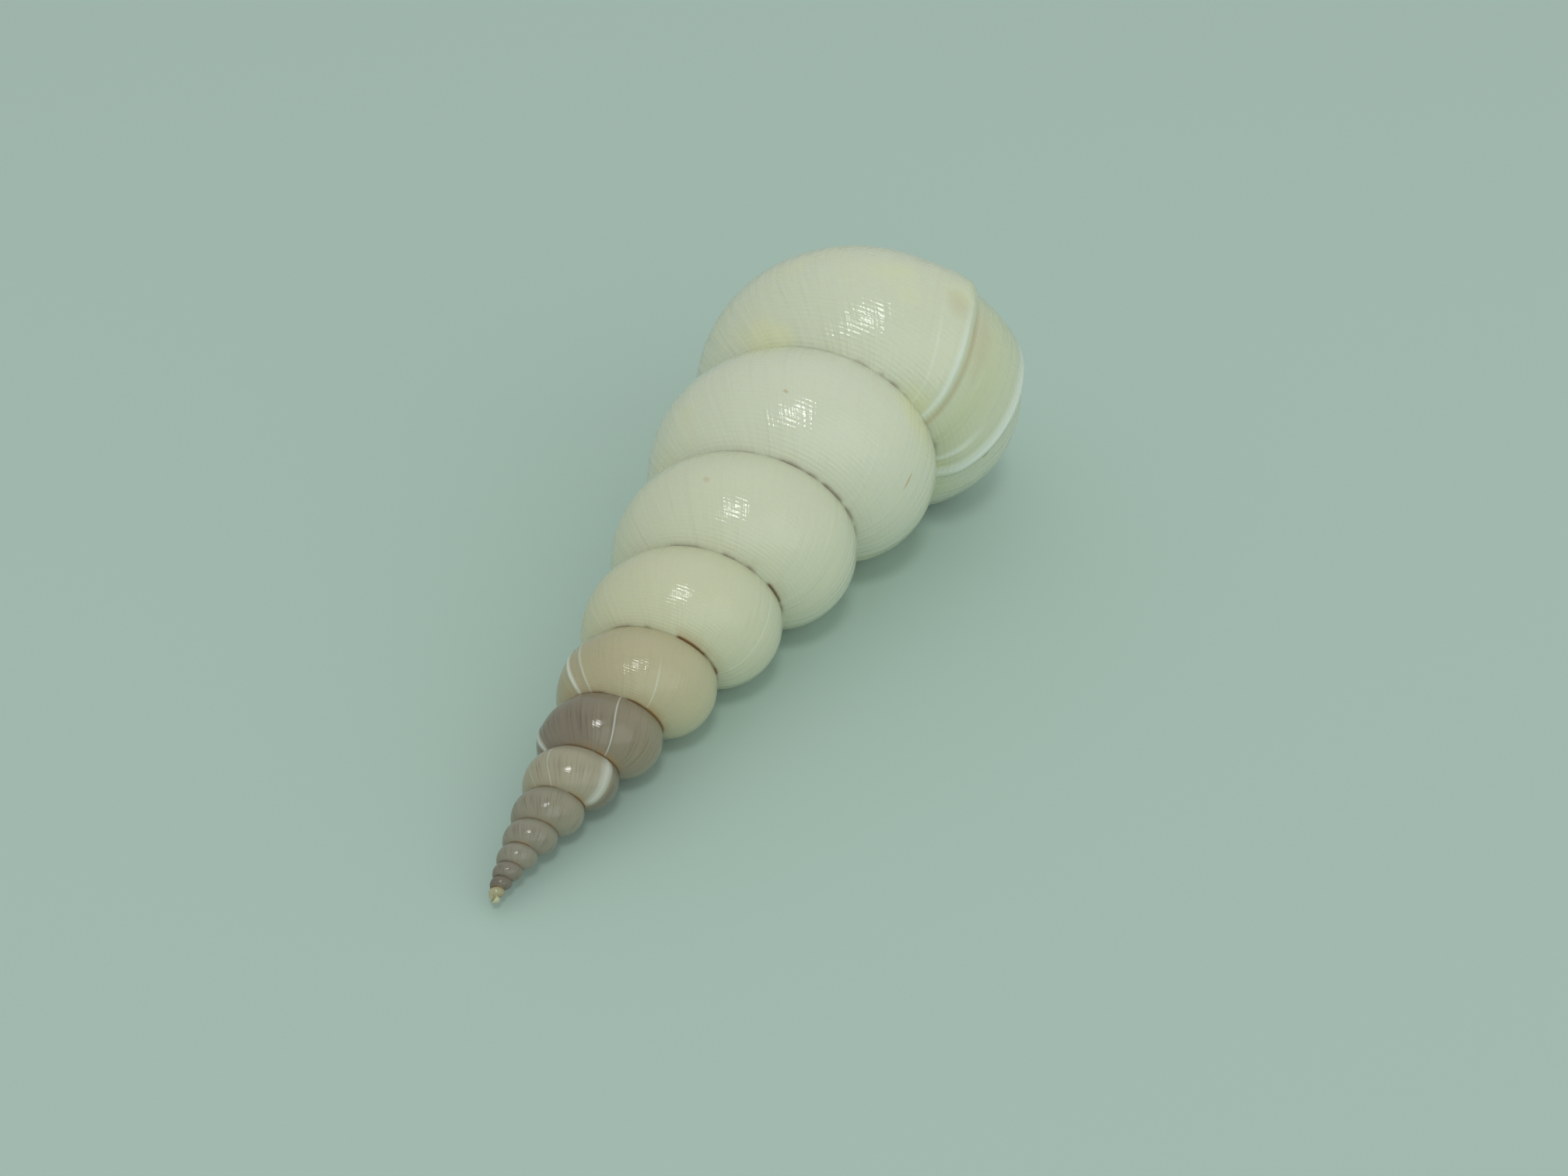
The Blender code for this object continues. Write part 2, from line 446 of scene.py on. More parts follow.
@dataclass
class Winder:
    """The Geometry Nodes tree that raises the old lips and winds the sheet round the axis."""

    varices: tuple[Varix, ...]
    rise: float = math.radians(11.3)
    roll: float = math.radians(27.5)
    apex_height: float = 0.80 * MM
    bend: float = 0.34 * MM
    bend_angle: float = math.radians(104.7)
    bend_turn: float = -7.0
    bend_span: float = 6.0
    wrinkle: float = 0.0008
    swelling: float = 0.0012
    wrinkles: float = 46.0
    swellings: float = 5.0

    def sizes(self) -> dict[str, float]:
        """Lists the tree's named inputs.

        Returns:
            The value of each, by name.
        """
        return {
            "Axis Rise": self.rise,
            "Roll": self.roll,
            "Apex Height": self.apex_height,
            "Bend": self.bend,
            "Bend Angle": self.bend_angle,
            "Bend Turn": self.bend_turn,
            "Bend Span": self.bend_span,
            "Wrinkle Height": self.wrinkle,
            "Swelling Height": self.swelling,
        }

    def relief(self, bench: Bench, growth: Number, inputs: dict[str, Number]) -> Number:
        """Height of the surface over the plain whorl.

        Args:
            bench: The tree.
            growth: The growth line's turn.
            inputs: The tree's named inputs.

        Returns:
            The height as a share of the reach.
        """
        highest = growth * 0.0
        for varix in self.varices:
            up = bench.ramp(growth, varix.turn - varix.rise, varix.turn)
            down = bench.ramp(growth, varix.turn, varix.turn + varix.fall).less_from(1.0)
            highest = highest.largest(up * down * varix.height)
        waves = {"Wrinkle Height": self.wrinkles, "Swelling Height": self.swellings}
        for key, per_turn in waves.items():
            line = bench.join(growth * per_turn, 0.0, 0.0)
            highest = highest + (bench.noise(line, 1.0) - 0.5) * inputs[key]
        return highest

    def place(self, bench: Bench, inputs: dict[str, Number]) -> bpy.types.NodeSocket:
        """The wound position of each vertex of the sheet.

        Args:
            bench: The tree.
            inputs: The tree's named inputs.

        Returns:
            The position.
        """
        flat = bench.add("GeometryNodeInputPosition").outputs[0]
        radius, along, turn = bench.split(flat)
        named = {"outward": "FLOAT_VECTOR", "growth": "FLOAT"}
        outward, growth = (
            bench.add("GeometryNodeInputNamedAttribute", {"Name": key}, data_type=kind).outputs[0]
            for key, kind in named.items()
        )
        raised = self.relief(bench, bench.number(growth), inputs)
        outward_radius, outward_along, _ = bench.split(outward)
        radius = radius + outward_radius * raised
        along = along + outward_along * raised
        angle = turn * TAU + inputs["Roll"]
        past = (inputs["Bend Turn"] - turn).largest(0.0) / inputs["Bend Span"]
        bend = past * past * inputs["Bend"]
        bend_angle = inputs["Bend Angle"] + inputs["Roll"]
        sideways = angle.math("SINE") * radius + bend_angle.math("SINE") * bend
        upward = angle.math("COSINE") * radius + bend_angle.math("COSINE") * bend
        level = bench.join(sideways, along, upward)
        turned = bench.add(
            "ShaderNodeVectorRotate",
            {"Vector": level, "Angle": inputs["Axis Rise"]},
            rotation_type="X_AXIS",
        )
        x, y, z = bench.split(turned.outputs[0])
        return bench.join(x, y, (z + inputs["Apex Height"]).largest(0.0))

    def tree(self) -> bpy.types.NodeTree:
        """Builds the tree.

        Returns:
            The node group, with a named input for each size and one for the material.
        """
        tree = bpy.data.node_groups.new("wind the shell", "GeometryNodeTree")
        face = tree.interface
        face.new_socket("Geometry", in_out="INPUT", socket_type="NodeSocketGeometry")
        face.new_socket("Geometry", in_out="OUTPUT", socket_type="NodeSocketGeometry")
        for name in self.sizes():
            face.new_socket(name, in_out="INPUT", socket_type="NodeSocketFloat")
        face.new_socket("Material", in_out="INPUT", socket_type="NodeSocketMaterial")
        bench = Bench(tree)
        group = bench.add("NodeGroupInput")
        inputs = {name: bench.number(group.outputs[name]) for name in self.sizes()}
        placed = bench.add(
            "GeometryNodeSetPosition",
            {"Geometry": group.outputs["Geometry"], "Position": self.place(bench, inputs)},
        )
        smooth = bench.add("GeometryNodeSetShadeSmooth", {"Geometry": placed.outputs[0]})
        whole = bench.add("GeometryNodeRealizeInstances", {"Geometry": smooth.outputs[0]})
        dressed = bench.add(
            "GeometryNodeSetMaterial",
            {"Geometry": whole.outputs[0], "Material": group.outputs["Material"]},
        )
        bench.add("NodeGroupOutput", {"Geometry": dressed.outputs[0]})
        return tree

    def wind(self, sheet: bpy.types.Object, finish: bpy.types.Material) -> bpy.types.Mesh:
        """Winds the sheet.

        Args:
            sheet: The flat sheet.
            finish: The shell's material.

        Returns:
            The plain mesh of the wound shell.
        """
        modifier = sheet.modifiers.new("wind", "NODES")
        modifier.node_group = self.tree()
        values = {**self.sizes(), "Material": finish}
        for item in modifier.node_group.interface.items_tree:
            if item.in_out == "INPUT" and item.name in values:
                modifier[item.identifier] = values[item.name]
        bpy.context.view_layer.update()
        graph = bpy.context.evaluated_depsgraph_get()
        wound = bpy.data.meshes.new_from_object(sheet.evaluated_get(graph))
        sheet.modifiers.remove(modifier)
        return wound


@dataclass(frozen=True)
class WhiteLine:
    """A white growth line or lip: its turn, half width in turns, strength and where it fades."""

    turn: float
    half_width: float
    amount: float
    fades_from: float = 1.6
    faded_at: float = 2.0

    def strength(self, bench: Bench, turn: Number, share: Number) -> Number:
        """How white the line makes a place on the whorl."""
        along = bench.ramp(share, self.faded_at, self.fades_from)
        return turn.bump(self.turn, self.half_width) * along * self.amount


@dataclass(frozen=True)
class Mark:
    """A small rust mark: its middle, its half sizes in turns and shares, and its strength."""

    turn: float
    share: float
    half_width: float
    half_length: float
    amount: float

    def strength(self, turn: Number, share: Number) -> Number:
        """How strongly the mark colours a place.

        Args:
            turn: The place's growth line.
            share: How far down the whorl it is.

        Returns:
            The strength, from 0 to the mark's amount.
        """
        across = (turn - self.turn) / self.half_width
        down = (share - self.share) / self.half_length
        return (across * across + down * down).less_from(1.0) * self.amount


@dataclass(frozen=True)
class Ground:
    """What the shell's patterns are drawn on: coordinates and the noises that they share.

    The share runs down a whorl from its upper suture. Early is 1 on the grey-brown whorls, and
    inside is 1 in the mouth.
    """

    turn: Number
    share: Number
    place: bpy.types.NodeSocket
    inside: Number
    early: Number
    lines: Number
    streaks: Number


@dataclass(frozen=True)
class ShellSurface:
    """The shell's glossy finish: whorl colours, old lips, growth lines, threads and dirt."""

    first_turn: float
    last_turn: float
    whorls: tuple[tuple[float, Colour], ...] = (
        (-12.9, srgb(187, 186, 153)),
        (-12.2, srgb(176, 172, 138)),
        (-11.7, srgb(149, 144, 113)),
        (-11.2, srgb(111, 104, 91)),
        (-10.6, srgb(118, 111, 100)),
        (-9.0, srgb(141, 137, 122)),
        (-7.0, srgb(144, 139, 121)),
        (-6.2, srgb(164, 158, 134)),
        (-5.82, srgb(162, 156, 135)),
        (-5.77, srgb(129, 122, 106)),
        (-5.3, srgb(140, 130, 114)),
        (-5.05, srgb(128, 118, 102)),
        (-4.85, srgb(144, 135, 114)),
        (-4.5, srgb(153, 144, 120)),
        (-4.2, srgb(175, 165, 133)),
        (-3.4, srgb(202, 200, 167)),
        (-2.8, srgb(205, 207, 179)),
        (-1.9, srgb(209, 212, 187)),
        (-0.9, srgb(213, 216, 195)),
        (0.12, srgb(211, 215, 191)),
        (0.17, srgb(198, 204, 170)),
        (0.26, srgb(208, 213, 191)),
    )
    lip_white: Colour = srgb(238, 244, 238)
    dirt: Colour = srgb(100, 73, 42)
    rust: Colour = srgb(180, 144, 89)
    honey: Colour = srgb(221, 222, 176)
    inner: Colour = srgb(226, 232, 211)
    clear: Colour = (1.0, 1.0, 1.0)
    # colour that both the growth lines and the painted shade of the early whorls darken towards
    streak_and_painted_shade: Colour = (0.45, 0.40, 0.38)
    light_from: float = -3.6
    dark_until: float = -5.0
    patch_scale: float = 150.0
    patch_edge: Pair = (0.52, 0.68)
    patch_turns: Pair = (-2.5, -0.5)
    patch_amount: float = 0.55
    stains: tuple[Pair, ...] = ((0.1465, 0.006), (-5.783, 0.012))
    stain_amount: float = 0.35
    dirt_side: float = 0.10
    dirt_turns: Pair = (-0.5, -3.6)
    clean_turns: Pair = (-12.0, -11.2)
    speck_scale: float = 700.0
    speck_edge: Pair = (0.36, 0.62)
    line_rates: Pair = (130.0, 1.5)
    streak_rates: Pair = (34.0, 0.9)
    break_rates: Pair = (60.0, 30.0)
    least_roughness: float = 0.10
    grain_scale: float = 1800.0
    grain_dulls: float = 0.08
    lip_dulls: float = 0.1
    ior: float = 1.53
    translucence: float = 0.35
    translucence_colour: Colour = (1.0, 0.9, 0.6)
    translucence_depth: float = 1.4 * MM
    threads: float = 34.0
    thread_height: float = 0.38
    line_height: float = 3.2
    fold_height: float = 3.0
    suture_fold_height: float = 1.5
    relief_height: float = 0.020 * MM
    relief_growth: float = 0.24
    white_lines: tuple[WhiteLine, ...] = (
        WhiteLine(-6.153, 0.005, 0.2),
        WhiteLine(-6.055, 0.005, 0.25),
        WhiteLine(-5.822, 0.036, 0.42),
        WhiteLine(-5.547, 0.008, 0.35),
        WhiteLine(-5.215, 0.018, 0.65),
        WhiteLine(-4.925, 0.0035, 0.45),
        WhiteLine(-4.155, 0.010, 0.7, fades_from=0.45, faded_at=1.0),
        WhiteLine(-4.112, 0.005, 0.35),
        WhiteLine(-3.917, 0.004, 0.28, fades_from=0.25, faded_at=0.65),
        WhiteLine(-2.793, 0.004, 0.18),
        WhiteLine(0.104, 0.003, 0.2, fades_from=0.3, faded_at=0.7),
        WhiteLine(0.133, 0.0065, 0.6, fades_from=0.35, faded_at=0.9),
        WhiteLine(0.209, 0.006, 0.6, fades_from=0.1, faded_at=0.4),
        WhiteLine(0.240, 0.015, 0.8),
        WhiteLine(0.338, 0.012, 0.6),
        WhiteLine(0.383, 0.012, 0.6),
    )
    marks: tuple[Mark, ...] = (
        Mark(-0.80, 0.45, 0.0025, 0.07, 0.6),
        Mark(0.118, 0.66, 0.015, 0.12, 0.20),
        Mark(0.158, 0.60, 0.018, 0.30, 0.18),
        Mark(0.264, 0.36, 0.006, 0.035, 0.8),
        Mark(-0.995, 0.42, 0.004, 0.015, 0.5),
        Mark(-2.02, 0.50, 0.006, 0.03, 0.3),
    )

    def mix(
        self, bench: Bench, share: object, first: object, second: object, blend: str = "MIX"
    ) -> bpy.types.NodeSocket:
        """Turns one colour into another.

        Args:
            bench: The material's tree.
            share: How much of the second colour there is.
            first: A colour or its socket.
            second: The same for the second.
            blend: How the second is laid on the first.

        Returns:
            The mixed colour.
        """
        node = bench.add("ShaderNodeMix", data_type="RGBA", blend_type=blend)
        for slot, value in ((0, share), (6, first), (7, second)):
            is_colour = isinstance(value, tuple)
            bench.feed(node.inputs[slot], (*value, 1.0) if is_colour else value)
        return node.outputs[2]

    def whorl_colour(self, bench: Bench, turn: Number) -> bpy.types.NodeSocket:
        """The plain colour along the whorls.

        Args:
            bench: The material's tree.
            turn: The growth line's turn.

        Returns:
            The colour.
        """
        span = self.last_turn - self.first_turn
        node = bench.add("ShaderNodeValToRGB", {0: (turn - self.first_turn) / span})
        stops = node.color_ramp.elements
        while len(stops) < len(self.whorls):
            stops.new(0.5)
        for stop, (place, colour) in zip(stops, self.whorls):
            stop.position = (place - self.first_turn) / span
            stop.color = (*colour, 1.0)
        return node.outputs[0]

    def woven(self, bench: Bench, turn: Number, share: Number, rates: Pair) -> Number:
        """Noise that follows the whorls.

        Args:
            bench: The material's tree.
            turn: The growth line's turn.
            share: How far down the whorl.
            rates: How fast it changes per turn and per share.

        Returns:
            The noise, from 0 to 1.
        """
        return bench.noise(bench.join(turn * rates[0], share * rates[1], 0.0), 1.0)

    def ground(self, bench: Bench) -> Ground:
        """Lays what the patterns are drawn on.

        Args:
            bench: The material's tree.

        Returns:
            The coordinates and the shared noises.
        """
        coil = bench.add("ShaderNodeUVMap", uv_map="coil").outputs[0]
        turn, share, _ = bench.split(coil)
        inside = bench.add("ShaderNodeAttribute", attribute_name="inside").outputs[2]
        return Ground(
            turn=turn,
            share=share,
            place=bench.add("ShaderNodeTexCoord").outputs["Object"],
            inside=bench.number(inside),
            early=bench.ramp(turn, self.light_from, self.dark_until),
            lines=self.woven(bench, turn, share, self.line_rates),
            streaks=self.woven(bench, turn, share, self.streak_rates),
        )

    def whiteness(self, bench: Bench, on: Ground) -> Number:
        """How white the old lips and the white growth lines make a place.

        Args:
            bench: The material's tree.
            on: The ground.

        Returns:
            The whiteness, from 0 to 1.
        """
        white = on.turn * 0.0
        for line in self.white_lines:
            white = white.largest(line.strength(bench, on.turn, on.share))
        return white

    def colour(self, bench: Bench, on: Ground, white: Number) -> bpy.types.NodeSocket:
        """The colour: whorls, honey patches, growth lines, a painted shade across the early whorls,
        old lips, rust marks and dirt.

        Args:
            bench: The material's tree.
            on: The ground.
            white: The whiteness of the old lips.

        Returns:
            The colour.
        """
        patches = bench.noise(on.place, self.patch_scale)
        late = bench.ramp(on.turn, *self.patch_turns)
        yellow = bench.ramp(patches, *self.patch_edge) * late * self.patch_amount
        colour = self.mix(bench, yellow, self.whorl_colour(bench, on.turn), self.honey)
        darker = (on.lines - 0.5) * 0.9 + (on.streaks - 0.5) * 0.4
        darker = darker * (on.early * 0.22 + 0.12)
        # painted shade: on the early whorls the middle of each side is darker and the far edge
        # lighter, as light from above would leave it
        darker = darker + on.share.bump(0.40, 0.40) * on.early * 0.045
        shade = self.mix(bench, bench.ramp(darker, 0.0, 0.22), self.clear, self.streak_and_painted_shade)
        colour = self.mix(bench, 1.0, colour, shade, "MULTIPLY")
        colour = self.mix(bench, white, colour, self.lip_white)
        first, second = (on.turn.bump(*stain) for stain in self.stains)
        stain = first.largest(second) * bench.ramp(on.share, 1.0, 0.6) * self.stain_amount
        colour = self.mix(bench, stain, colour, self.rust)
        for mark in self.marks:
            colour = self.mix(bench, mark.strength(on.turn, on.share), colour, self.rust)
        colour = self.dirty(bench, colour, on)
        return self.mix(bench, on.inside, colour, self.inner)

    def dirty(
        self, bench: Bench, colour: bpy.types.NodeSocket, on: Ground
    ) -> bpy.types.NodeSocket:
        """Lays the brown dirt of the sutures on a colour.

        Args:
            bench: The material's tree.
            colour: The clean colour.
            on: The ground.

        Returns:
            The colour with dirt on it.
        """
        turn, share = on.turn, on.share
        specks = bench.noise(on.place, self.speck_scale)
        facing = ((turn - self.dirt_side) * TAU).math("COSINE")
        older = bench.ramp(turn, *self.dirt_turns) * 0.7 + 0.3
        amount = bench.ramp(facing, 0.55, 0.98) * (older * -0.4 + 1.2) + older * older * 0.4
        amount = amount * bench.ramp(specks, *self.speck_edge)
        amount = amount * bench.ramp(turn, *self.clean_turns)
        upper = bench.ramp(share, 0.028, 0.006)
        lower = bench.ramp(share, 0.965, 1.0) * bench.ramp(share, 1.02, 1.0)
        lower = lower * bench.ramp(turn, -0.37, -0.40)
        line = (upper.largest(lower) * amount * older).math("MULTIPLY", 1.4, clamp=True)
        colour = self.mix(bench, line, colour, self.dirt)
        wide = bench.ramp(share, 0.14, 0.0) * amount * older * older * 0.4
        return self.mix(bench, wide, colour, self.rust)

    def relief(self, bench: Bench, on: Ground) -> bpy.types.NodeSocket:
        """The fine relief: broken spiral threads, growth lines, and folds under the sutures.

        Args:
            bench: The material's tree.
            on: The ground.

        Returns:
            The bumped normal.
        """
        rows = (on.share * (TAU * self.threads)).math("SINE")
        broken = self.woven(bench, on.turn, on.share, self.break_rates)
        fine = rows * bench.ramp(broken, 0.30, 0.60) * self.thread_height
        fine = fine + on.lines * self.line_height
        near_suture = bench.ramp(on.share, 0.35, 0.05) * self.suture_fold_height
        folds = on.streaks * (near_suture + self.fold_height)
        size = (on.turn * self.relief_growth).math("EXPONENT") * on.inside.less_from(1.0)
        height = (fine + folds) * (size * (on.early * -0.5 + 1.0))
        inputs = {"Strength": 1.0, "Distance": self.relief_height, "Height": height}
        return bench.add("ShaderNodeBump", inputs).outputs[0]

    def material(self) -> bpy.types.Material:
        """Builds the material.

        Returns:
            The material, for a mesh with the pattern coordinates "coil".
        """
        made = bpy.data.materials.new("glossy shell")
        made.use_nodes = True
        made.node_tree.nodes.clear()
        bench = Bench(made.node_tree)
        on = self.ground(bench)
        white = self.whiteness(bench, on)
        grain = bench.noise(on.place, self.grain_scale, 3.0)
        roughness = grain * self.grain_dulls + white * self.lip_dulls
        shader = bench.add(
            "ShaderNodeBsdfPrincipled",
            {
                "Base Color": self.colour(bench, on, white),
                "Roughness": roughness + self.least_roughness,
                "Normal": self.relief(bench, on),
                "IOR": self.ior,
                "Subsurface Weight": self.translucence,
                "Subsurface Radius": self.translucence_colour,
                "Subsurface Scale": self.translucence_depth,
            },
        )
        bench.add("ShaderNodeOutputMaterial", {"Surface": shader.outputs[0]})
        return made


@dataclass
class Shell:
    """The whole shell, grown as one piece."""

    coil: Coil = field(default_factory=Coil)
    first_turn: float = -12.9
    rows_per_turn: int = 144
    lip_row: int = 1936
    slant_rows: int = 12
    columns: int = 28
    base_columns: int = 22
    columella_bow: float = 0.6 * MM
    lean: float = 0.024
    lean_turn: float = 0.132
    lean_reach: float = 0.09
    lean_middle: float = 0.45
    edge_fade: float = 6.4
    crisp_angle: float = math.radians(50)
    varices: tuple[Varix, ...] = (
        Varix(-5.80, 0.010),
        Varix(-5.21, 0.006),
        Varix(-4.155, 0.005, 0.02),
        Varix(-4.112, 0.004, 0.02),
        Varix(0.132, 0.008, 0.06, 0.016),
        Varix(0.209, 0.002, 0.02),
        Varix(0.246, 0.009),
        Varix(0.342, 0.008),
        Varix(0.386, 0.014),
    )
    rim: tuple[Pair, ...] = (
        (-0.0012, 0.992),
        (-0.0026, 0.975),
        (-0.0030, 0.955),
        (-0.0018, 0.940),
    )
    hollow: tuple[Pair, ...] = (
        (0.0, 0.932),
        (0.012, 0.910),
        (0.04, 0.890),
        (0.10, 0.880),
        (0.60, 0.880),
        (0.68, 0.80),
        (0.72, 0.60),
        (0.74, 0.30),
    )
    even_from: float = 0.10
    even_to: float = 0.60
    ring_step: float = 0.02

    @property
    def slant(self) -> float:
        """Turns that a growth line lags by at its lower suture."""
        return self.slant_rows / self.rows_per_turn

    @property
    def around(self) -> int:
        """Rows from a growth line to the one that starts where it ends, a whorl on."""
        return self.rows_per_turn - self.slant_rows

    def side(self, growth: np.ndarray, share: np.ndarray, tip: bool | np.ndarray) -> tuple:
        """Points on the whorls' sides.

        Args:
            growth: The growth lines' turns.
            share: How far down the side, from the upper suture (0) to the lower (1).
            tip: Where the line starts from the very tip, with no whorl before it.

        Returns:
            The places and the outward steps.
        """
        here = growth - self.slant * np.sin(0.5 * np.pi * share)
        start = np.where(tip, -0.5 * np.pi, self.coil.upper_angle(here))
        angle = start + (self.coil.suture_angle(here) - start) * share
        return (*self.coil.oval(here, angle), here), self.coil.outward(here, angle)

    def base(self, growth: np.ndarray, share: np.ndarray) -> tuple:
        """Points on the base.

        Args:
            growth: The growth lines' turns.
            share: How far in, from the lower suture's line (0) to the axis (1).

        Returns:
            The places and the outward steps.
        """
        here = growth - self.slant + 0.0 * share
        start = self.coil.suture_angle(here)
        angle = start + (self.coil.axis_angle(here) - start) * share
        return (*self.coil.oval(here, angle), here), self.coil.outward(here, angle)

    def leaned(self, growth: np.ndarray, share: np.ndarray) -> np.ndarray:
        """Leans the growth lines near the last strong lip.

        Args:
            growth: The growth lines' turns.
            share: How far down the whorl each vertex is.

        Returns:
            The turns of the pattern there.
        """
        near = np.clip(1.0 - np.abs(growth - self.lean_turn) / self.lean_reach, 0.0, 1.0)
        return growth - self.lean * (np.minimum(share, 1.0) - self.lean_middle) * near

    def columella(self, growth: np.ndarray, mouth: float, share: np.ndarray) -> tuple:
        """Points on the axis side of the mouth, bowed away from it.

        Args:
            growth: The growth lines' turns.
            mouth: The turn of the mouth.
            share: How far along the side each point is, from 0 to 1.

        Returns:
            The places.
        """
        (_, along, _), _ = self.base(growth, np.ones_like(share))
        bow = -self.columella_bow * np.sin(np.pi * share)
        return bow, along, np.full_like(along, mouth - 0.5 * self.slant)

    def add_sides(self, sheet: Sheet) -> np.ndarray:
        """Adds the whorls' sides; a suture's vertices are shared by the whorls it parts.

        Args:
            sheet: The sheet that takes them.

        Returns:
            Vertex numbers, a row for each growth line.
        """
        rows = np.arange(self.lip_row + 1)[:, None]
        growth = self.first_turn + rows / self.rows_per_turn
        share = np.arange(1, self.columns + 1)[None, :] / self.columns
        gap, size, breadth, height = self.coil.section(np.array(self.first_turn))
        tip = sheet.add_points((0.0, size - height, self.first_turn))
        place, outward = self.side(growth, share, rows < self.around)
        edge = np.minimum(1.0, self.edge_fade * share * (1.0 - share))
        free = np.minimum(1.0, self.edge_fade * share)
        weight = np.where(rows > self.lip_row - self.around, free, edge)
        lifts = tuple(step * weight for step in outward)
        new = sheet.add_points(place, lifts, self.leaned(growth, share))
        ids = np.empty((self.lip_row + 1, self.columns + 1), int)
        ids[:, 1:] = new
        ids[: self.around, 0] = tip
        ids[self.around :, 0] = ids[: -self.around, -1]
        down = np.arange(self.columns + 1)[None, :] / self.columns
        sheet.add_grid(ids, self.leaned(growth, down), Zone.SIDE.value + down)
        first_line = np.stack([np.full_like(ids[0], tip), ids[0]])
        sheet.add_grid(first_line, np.full((2, 1), self.first_turn), Zone.SIDE.value + down)
        return ids

    def add_base(self, sheet: Sheet, sides: np.ndarray) -> np.ndarray:
        """Adds the base of the last whorl, from the inner lip's line to the outer lip.

        Args:
            sheet: The sheet that takes it.
            sides: The sides' vertex numbers.

        Returns:
            Vertex numbers, a row for each growth line.
        """
        rows = np.arange(self.lip_row - self.around, self.lip_row + 1)
        growth = (self.first_turn + rows / self.rows_per_turn)[:, None]
        share = np.arange(1, self.base_columns)[None, :] / self.base_columns
        place, outward = self.base(growth, share)
        lifts = tuple(step * (1.0 - share) for step in outward)
        leaned = self.leaned(growth, np.ones_like(growth))
        ids = np.empty((len(rows), self.base_columns + 1), int)
        ids[:, 0] = sides[rows, -1]
        ids[:, 1:-1] = sheet.add_points(place, lifts, leaned)
        along = np.linspace(0.0, 1.0, len(rows))
        ids[:, -1] = sheet.add_points(self.columella(growth[:, 0], growth[-1, 0], along))
        down = np.arange(self.base_columns + 1)[None, :] / self.base_columns
        sheet.add_grid(ids, leaned, Zone.BASE.value + down)
        return ids

    def mouth_outline(self, turn: float) -> np.ndarray:
        """The whorl's section at a turn.

        Args:
            turn: The turn.

        Returns:
            Places in order round the mouth.
        """
        share = np.arange(self.columns) / self.columns
        outer, _ = self.side(np.full_like(share, turn), share, False)
        share = np.arange(self.base_columns) / self.base_columns
        lower, _ = self.base(np.full_like(share, turn), share)
        steps = np.arange(self.around)
        back = turn - steps / self.rows_per_turn
        inner = self.columella(back, turn, 1.0 - steps / self.around)
        share = np.arange(self.base_columns, 0, -1) / self.base_columns
        before, _ = self.base(np.full_like(share, turn - 1.0 + self.slant), share)
        wall = (*before[:2], np.full_like(share, turn))
        return np.concatenate([np.stack(part, -1) for part in (outer, lower, inner, wall)])

    def ring(self, depth: float, size: float) -> tuple[np.ndarray, ...]:
        """A ring of the mouth: its outline at a depth, drawn in toward the middle.

        Args:
            depth: Turns behind the lip.
            size: The ring's size as a share of the outline's.

        Returns:
            The ring's places.
        """
        turn = self.first_turn + self.lip_row / self.rows_per_turn - depth
        outline = self.mouth_outline(turn)
        middle = np.array(
            [0.5 * outline[:, 0].max(), 0.5 * (outline[0, 1] + outline[:, 1].max())]
        )
        outline[:, :2] = middle + (outline[:, :2] - middle) * size
        return tuple(outline.T)

    def ring_plan(self) -> list[Pair]:
        """Plans the rings, with the hollow's in even steps.

        Returns:
            Depth and size of each.
        """
        depths, sizes = zip(*self.hollow)
        steps = np.arange(self.even_from, self.even_to, self.ring_step)
        even = np.unique(np.concatenate([depths, steps]))
        return list(self.rim) + list(zip(even, np.interp(even, depths, sizes)))

    def add_mouth(self, sheet: Sheet, sides: np.ndarray, base: np.ndarray) -> None:
        """Adds the lip's edge and the hollow that runs back inside the last whorl.

        Args:
            sheet: The sheet that takes them.
            sides: The sides' vertex numbers.
            base: The base's vertex numbers.
        """
        edge = np.concatenate(
            [sides[-1, :-1], base[-1, :-1], base[::-1, -1][:-1], base[0, 1:][::-1]]
        )
        rings = [edge]
        for depth, size in self.ring_plan():
            rings.append(sheet.add_points(self.ring(depth, size), inside=1.0))
        place = tuple(part.mean() for part in self.ring(*self.hollow[-1]))
        rings.append(np.full(len(edge), sheet.add_points(place, inside=1.0)))
        ids = np.array(rings)
        ids = np.concatenate([ids, ids[:, :1]], 1)
        turns = np.linspace(0.0, 1.0, len(ids))[:, None]
        round_share = np.linspace(0.0, 1.0, ids.shape[1])[None, :]
        sheet.add_grid(ids, turns, Zone.MOUTH.value + round_share)

    def settle(self, data: bpy.types.Mesh, low: Vector, high: Vector) -> None:
        """Moves the wound shell level so that its outline box is centred in the frame's.

        Args:
            data: The wound shell.
            low: The lowest corner of the frame's box.
            high: The highest corner.
        """
        places = np.empty(len(data.vertices) * 3, np.float32)
        data.vertices.foreach_get("co", places)
        places = places.reshape(-1, 3)
        middle = 0.5 * (places.min(0) + places.max(0))
        shift = 0.5 * (low + high) - Vector(middle.tolist())
        shift.z = 0.0
        data.transform(Matrix.Translation(shift))

    def build(self) -> bpy.types.Object:
        """Builds the shell.

        Returns:
            The finished piece.
        """
        sheet = Sheet()
        sides = self.add_sides(sheet)
        base = self.add_base(sheet, sides)
        self.add_mouth(sheet, sides, base)
        flat = sheet.to_object("flat shell")
        last = self.first_turn + self.lip_row / self.rows_per_turn
        finish = ShellSurface(self.first_turn, last).material()
        data = Winder(self.varices).wind(flat, finish)
        bpy.data.objects.remove(flat)
        self.settle(data, *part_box("shell"))
        self.face_out(data)
        piece = bpy.data.objects.new("wentletrap_shell", data)
        bpy.context.scene.collection.objects.link(piece)
        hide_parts("shell")
        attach(piece, "root")
        log.info("%s: %d faces", piece.name, len(data.polygons))
        return piece

